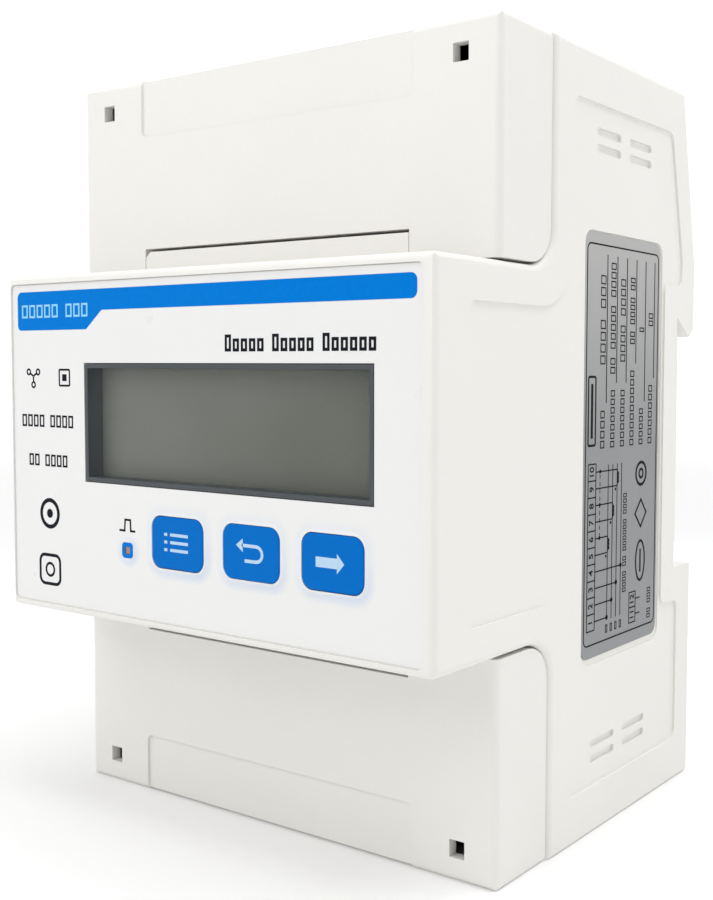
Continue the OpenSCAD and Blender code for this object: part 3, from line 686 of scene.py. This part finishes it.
def make_lamp_collar():
    """The same soft ramp round the pulse lamp, with the same painted blue shade below it, and its blue
    printed frame.
    """
    lamp = middle("light_pipe")
    # each ring's radius and its height above the panel
    section = [(0.72, 0.02), (0.72, 0.08), (1.0, 0.09), (1.25, 0.075), (1.55, 0.04), (1.85, 0.014),
               (2.15, 0.002), (2.4, 0.0), (2.6, -0.002), (2.65, -0.03), (1.2, -0.03), (0.8, -0.03)]
    rings = [[on_panel(p.x, p.y, h) for p in circle(lamp.x, lamp.z, r, 40)] for r, h in section]
    # how strongly each ring takes the painted blue shade
    shares = (0, 0, 0.2, 0.6, 0.8, 0.5, 0.2, 0, 0, 0, 0, 0)
    tones = painted_shade_tones(rings, Vector((lamp.x, lamp.z + 1.5)), shares)
    loft("collar_lamp", rings, painted_shade_film, "case", tones=tones)
    outer = rect(lamp.x - 1.02, lamp.x + 1.02, lamp.z - 0.98, lamp.z + 1.02, 0.5, 5)
    inner = rect(lamp.x - 0.5, lamp.x + 0.5, lamp.z - 0.46, lamp.z + 0.48, 0.1, 5)
    rings = [[on_panel(p.x, p.y, h) for p in outline] for outline, h in
             ((outer, 0.06), (outer, 0.115), (inner, 0.115), (inner, 0.06))]
    loft("lamp_frame", rings, blue_ink, "case", smooth=False)


def make_legends():
    """Plain symbols on the keys: a list, a way back and an arrow."""
    def on_key(node):
        face = span(node)[0].y
        return lambda u, v, height: Vector((u, face - height, v)) * MM

    low, high = key_cap("key_set")
    mid = (low + high) / 2
    legend = Print(on_key("key_set"), -0.01, 0.015)
    for row in (-1, 0, 1):
        z = mid.z + row * 0.95 + 0.1
        legend.fill(rect(mid.x - 2.2, mid.x - 1.66, z - 0.19, z + 0.19, 0.08))
        legend.fill(rect(mid.x - 1.15, mid.x + 2.0, z - 0.19, z + 0.19, 0.1))
    legend.make("legend_set", legend_ink, "key_set")

    low, high = key_cap("key_esc")
    mid = (low + high) / 2
    legend = Print(on_key("key_esc"), -0.01, 0.015)
    bend = [Vector((mid.x + 0.95 + 0.95 * math.cos(a), mid.z - 0.05 + 0.9 * math.sin(a)))
            for a in [math.radians(90 - 22.5 * k) for k in range(9)]]
    legend.line([Vector((mid.x - 1.35, mid.z + 0.85))] + bend + [Vector((mid.x - 0.9, mid.z - 0.95))], 0.4)
    legend.fill([Vector((mid.x - 2.3, mid.z + 0.85)), Vector((mid.x - 1.2, mid.z + 0.05)),
                 Vector((mid.x - 1.2, mid.z + 1.65))])
    legend.make("legend_esc", legend_ink, "key_esc")

    low, high = key_cap("key_arrow")
    mid = (low + high) / 2
    legend = Print(on_key("key_arrow"), -0.01, 0.015)
    arrow = ((-2.35, -0.55), (0.75, -0.55), (0.75, -1.1), (1.8, 0.04), (0.75, 1.16), (0.75, 0.62),
             (-2.35, 0.62))
    legend.fill([Vector((mid.x + x, mid.z + z)) for x, z in arrow])
    legend.make("legend_arrow", legend_ink, "key_arrow")


# ---------------------------------------------------------------- print on the rating label

def make_label_print():
    """A border, ruled lines and a terminal diagram. Words become rows of empty cells, and only
    running numbers stand in the terminals' boxes."""
    front, back, bottom, top = label_low.y, label_high.y, label_low.z, label_high.z
    marks = Print(on_label)
    marks.line(rect(front + 0.62, back - 0.55, bottom + 1.7, top - 1.5, 0.9), 0.2, closed=True)
    # ruled lines of the data fields, each with its name below and its value beside it
    ends = (6.0, 8.6, 8.6, 11.2, 6.0, 9.2)
    names = ([4], [7], [7], [9], [5], [7])
    values = ([4, 3], [2, 5, 4], [4, 4], [2, 4, 2], [1], [2])
    starts = (11.0, 9.8, 11.4, 13.8, 15.5, 16.4)
    stops = (22.8, 24.5, 22.6, 22.9, 16.3, 18.4)
    for i in range(6):
        y = front + 6.1 + i * 2.82
        marks.line([(y, ends[i]), (y, top - 2.65)], 0.19)
        marks.words(y - 1.55, y - 0.42, 0.1, ends[i] - 0.7, names[i], 0.17, upright=True)
        marks.words(y - 1.75, y - 0.38, starts[i], stops[i], values[i], 0.17, upright=True)
    # a plain double bar at the head of the label
    marks.line(rect(front + 1.25, front + 3.2, 0.6, 9.4, 0.3), 0.3, closed=True)
    marks.fill(rect(front + 1.95, front + 2.5, 1.5, 8.5))
    # the row of terminals
    box_z = [bottom + 3.55 + 2.165 * k for k in range(11)]
    for z in box_z:
        marks.line([(front + 1.4, z), (front + 3.5, z)], 0.17)
    for y in (front + 1.4, front + 3.5):
        marks.line([(y, box_z[0]), (y, box_z[-1])], 0.17)
    # four supply lines and their taps
    bars = [front + 6.95 + 1.28 * k for k in range(4)]
    for y in bars:
        marks.line([(y, bottom + 4.3), (y, -2.1)], 0.15)
    for k in range(4):
        z = (box_z[k] + box_z[k + 1]) / 2
        marks.line([(front + 3.5, z), (bars[k], z)], 0.17)
        marks.fill(circle(bars[k], z, 0.33, 14))
    for k in range(3):
        low, high = [(box_z[j] + box_z[j + 1]) / 2 for j in (4 + 2 * k, 5 + 2 * k)]
        reach = bars[k] + 0.1
        marks.line(rounded([(front + 3.5, low), (reach, low), (reach, high), (front + 3.5, high)],
                           [0, 0.35, 0.35, 0]), 0.17)
        for step in (0.28, 0.5, 0.72):
            marks.fill(circle(reach + 0.12, low + (high - low) * step, 0.3, 12))
        marks.fill(circle(bars[k] - 0.45, low - 0.45, 0.2, 12))
        marks.fill(circle(front + 4.65, high, 0.26, 12))
    dashes = box_z[5] + 1.2
    while dashes < box_z[10] - 1.2:
        marks.line([(front + 4.65, dashes), (front + 4.65, dashes + 0.55)], 0.14)
        dashes += 0.95
    marks.words(front + 11.4, front + 12.4, -19.7, -6.1, [4, 2, 6, 4], 0.14, upright=True)
    # a ring, a diamond and an oval in place of the approval marks
    marks.line(circle(front + 16.7, -3.9, 1.55), 0.4, closed=True)
    marks.line(circle(front + 16.7, -3.9, 0.6, 18), 0.34, closed=True)
    marks.line([(front + 15.0, -9.4), (front + 16.75, -7.5), (front + 18.4, -9.4), (front + 16.75, -11.3)],
               0.3, closed=True)
    oval = [Vector((front + 16.75 + 1.35 * math.cos(a), -16.0 + 2.75 * math.sin(a)))
            for a in [2 * math.pi * k / 30 for k in range(30)]]
    marks.line(oval, 0.34, closed=True)
    marks.line([(front + 16.75, -17.6), (front + 16.75, -14.4)], 0.4)
    # the small pair of terminals
    for z0 in (-24.3, -22.2):
        marks.line(rect(front + 13.5, front + 15.4, z0, z0 + 2.1), 0.17, closed=True)
        marks.line([(front + 15.4, z0 + 1.05), (front + 16.8, z0 + 1.05)], 0.17)
    marks.words(front + 19.1, front + 20.1, -24.5, -20.0, [2, 3], 0.14, upright=True)
    marks.words(front + 6.6, front + 11.3, bottom + 2.6, bottom + 3.7, [1, 1, 1, 1], 0.16)
    marks.make("label_print", label_ink)
    make_numbers([str(k + 1) for k in range(10)], box_z, front + 2.45)
    make_numbers(["11", "12"], [-24.3, -22.2, -20.1], front + 14.45)


def make_numbers(texts, edges, y):
    """Running numbers in the terminal boxes, turned so that they read up the label."""
    for text, low, high in zip(texts, edges, edges[1:]):
        curve = bpy.data.curves.new("number", "FONT")
        curve.body = text
        curve.size = 1.55
        curve.extrude = 0.012
        curve.align_x = "CENTER"
        curve.align_y = "CENTER"
        curve.offset = 0.02
        obj = bpy.data.objects.new("terminal_number_" + text, curve)
        bpy.context.scene.collection.objects.link(obj)
        # the number runs along +Z and its top points towards the front
        place = Matrix.Translation(Vector((LABEL_X + 0.012, y, (low + high) / 2)) * MM)
        rotation = Matrix(((0, 0, 1), (0, -1, 0), (1, 0, 0))).to_4x4()
        obj.matrix_world = place @ rotation @ Matrix.Scale(MM, 4)
        bpy.context.view_layer.update()
        mesh = bpy.data.meshes.new_from_object(obj.evaluated_get(bpy.context.evaluated_depsgraph_get()))
        world = obj.matrix_world.copy()
        bpy.data.objects.remove(obj)
        mesh.transform(world)
        solid = bpy.data.objects.new("terminal_number_" + text, mesh)
        bpy.context.scene.collection.objects.link(solid)
        mesh.materials.clear()
        mesh.materials.append(label_ink)
        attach(solid, "case")


# ---------------------------------------------------------------- latch spring

def make_spring():
    """A round-wire coil that stands for the CAD's coarse one."""
    low, high = span("latch_spring")
    wire = 0.22
    radius = (high.x - low.x) / 2 - wire
    centre = Vector((0, (low.y + high.y) / 2, 0))
    turns, per_turn, sides = 7, 28, 12
    mesh_data = bmesh.new()
    rings = []
    count = turns * per_turn
    for i in range(count + 1):
        a = 2 * math.pi * i / per_turn
        z = low.z + wire + (high.z - low.z - 2 * wire) * i / count
        out = Vector((math.cos(a), math.sin(a), 0))
        rings.append([mesh_data.verts.new((centre + out * (radius + wire * math.cos(b))
                                           + Vector((0, 0, z + wire * math.sin(b)))) * MM)
                      for b in [2 * math.pi * k / sides for k in range(sides)]])
    for a, b in zip(rings, rings[1:]):
        for k in range(sides):
            j = (k + 1) % sides
            mesh_data.faces.new((a[k], a[j], b[j], b[k]))
    mesh_data.faces.new(rings[0][::-1])
    mesh_data.faces.new(rings[-1])
    bmesh.ops.recalc_face_normals(mesh_data, faces=mesh_data.faces)
    for face in mesh_data.faces:
        face.smooth = len(face.verts) == 4
    obj = add_object("coil_spring", mesh_data, spring_steel)
    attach(obj, "case")
    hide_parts("latch_spring")
    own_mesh(obj)


make_band()
make_panel_marks()
make_bead()
for key_node in KEYS:
    make_collar(key_node)
make_lamp_collar()
make_legends()
make_label_print()
make_spring()


# ---------------------------------------------------------------- floor, light and camera

FLOOR_FRONT, FLOOR_SIDES = -4.0, (-12.0, 8.0)
SWEEP_FROM, SWEEP_RADIUS, SWEEP_STEPS = 0.8, 3.0, 40
BACKDROP_TOP = 6.0
PAPER_WHITE = (0.82, 0.82, 0.82, 1)
# the paper's own glow at two distances from the object, in metres
GLOW_NEAR, GLOW_FAR = 0.10, 0.50
GLOW_FROM, GLOW_TO = 0.28, 1.00


def floor_paper():
    """White paper that glows faintly, more so away from the object and the same in every direction."""
    material, tree, shader = new_material("floor_paper")
    where = tree.nodes.new("ShaderNodeTexCoord")
    away = tree.nodes.new("ShaderNodeVectorMath")
    away.operation = "LENGTH"
    tree.links.new(where.outputs["Object"], away.inputs[0])
    glow = ranged(tree, away.outputs["Value"], GLOW_NEAR, GLOW_FAR, GLOW_FROM, GLOW_TO)
    tree.links.new(glow, shader.inputs["Emission Strength"])
    shader.inputs["Base Color"].default_value = PAPER_WHITE
    shader.inputs["Emission Color"].default_value = (1, 1, 1, 1)
    shader.inputs["Roughness"].default_value = 0.9
    shader.inputs["Specular IOR Level"].default_value = 0.1
    return material


def make_stage():
    """A wide floor under the object that sweeps up into a backdrop behind it."""
    floor_z = case_low.z * MM
    mesh_data = bmesh.new()
    profile = [(FLOOR_FRONT, 0.0), (SWEEP_FROM, 0.0)]
    for k in range(1, SWEEP_STEPS + 1):
        a = math.radians(90) * k / SWEEP_STEPS
        y, z = SWEEP_FROM + SWEEP_RADIUS * math.sin(a), SWEEP_RADIUS - SWEEP_RADIUS * math.cos(a)
        profile.append((y, z))
    profile.append((SWEEP_FROM + SWEEP_RADIUS, BACKDROP_TOP))
    rows = []
    for y, z in profile:
        rows.append([mesh_data.verts.new((x, y, floor_z + z)) for x in FLOOR_SIDES])
    for a, b in zip(rows, rows[1:]):
        mesh_data.faces.new((a[0], a[1], b[1], b[0]))
    bmesh.ops.recalc_face_normals(mesh_data, faces=mesh_data.faces)
    for face in mesh_data.faces:
        face.smooth = True
        if face.normal.z < -0.1:
            face.normal_flip()
    add_object("floor", mesh_data, floor_paper())


def make_light(name, place, aim, size, power):
    """A soft square light, in metres and watts, turned towards aim."""
    data = bpy.data.lights.new(name, "AREA")
    data.shape = "SQUARE"
    data.size = size
    data.energy = power
    obj = bpy.data.objects.new(name, data)
    bpy.context.scene.collection.objects.link(obj)
    obj.location = place
    obj.rotation_euler = (Vector(place) - Vector(aim)).to_track_quat("Z", "Y").to_euler()


def make_world(strength):
    """Even white light from all round."""
    world = bpy.data.worlds.new("studio")
    world.use_nodes = True
    background = world.node_tree.nodes["Background"]
    background.inputs["Color"].default_value = (1, 1, 1, 1)
    background.inputs["Strength"].default_value = strength
    bpy.context.scene.world = world


# the camera's place in millimetres and its angles in degrees
CAMERA_PLACE = Vector((107.61, -159.74, 10.17))
CAMERA_AZIMUTH = 34.53
CAMERA_PITCH = -3.40
CAMERA_ROLL = 0.30
LENS_MM, SENSOR_MM = 47.592, 36.0
SHIFT = (-0.11322, -0.01022)


def make_camera():
    """The camera, to the right of the object and a little above its middle, looking slightly down."""
    data = bpy.data.cameras.new("camera")
    data.sensor_width = SENSOR_MM
    data.lens = LENS_MM
    data.shift_x, data.shift_y = SHIFT
    data.clip_start, data.clip_end = 0.01, 50
    obj = bpy.data.objects.new("camera", data)
    bpy.context.scene.collection.objects.link(obj)
    azimuth, pitch, roll = (math.radians(a) for a in (CAMERA_AZIMUTH, CAMERA_PITCH, CAMERA_ROLL))
    level = math.cos(pitch)
    ahead = Vector((-math.sin(azimuth) * level, math.cos(azimuth) * level, math.sin(pitch)))
    right = ahead.cross(Vector((0, 0, 1))).normalized()
    up = right.cross(ahead)
    rolled_right = right * math.cos(roll) + up * math.sin(roll)
    rolled_up = up * math.cos(roll) - right * math.sin(roll)
    turn = Matrix((rolled_right, rolled_up, -ahead)).transposed().to_4x4()
    obj.matrix_world = Matrix.Translation(CAMERA_PLACE * MM) @ turn
    bpy.context.scene.camera = obj


make_stage()
make_world(0.63)
make_light("key", place=(-0.20, -0.38, 0.32), aim=(0, -0.04, 0.02), size=0.35, power=0.84)
make_light("top", place=(0.14, -0.02, 0.46), aim=(0, -0.03, 0.02), size=0.35, power=1.35)
make_camera()
bpy.context.scene.view_settings.view_transform = "Standard"
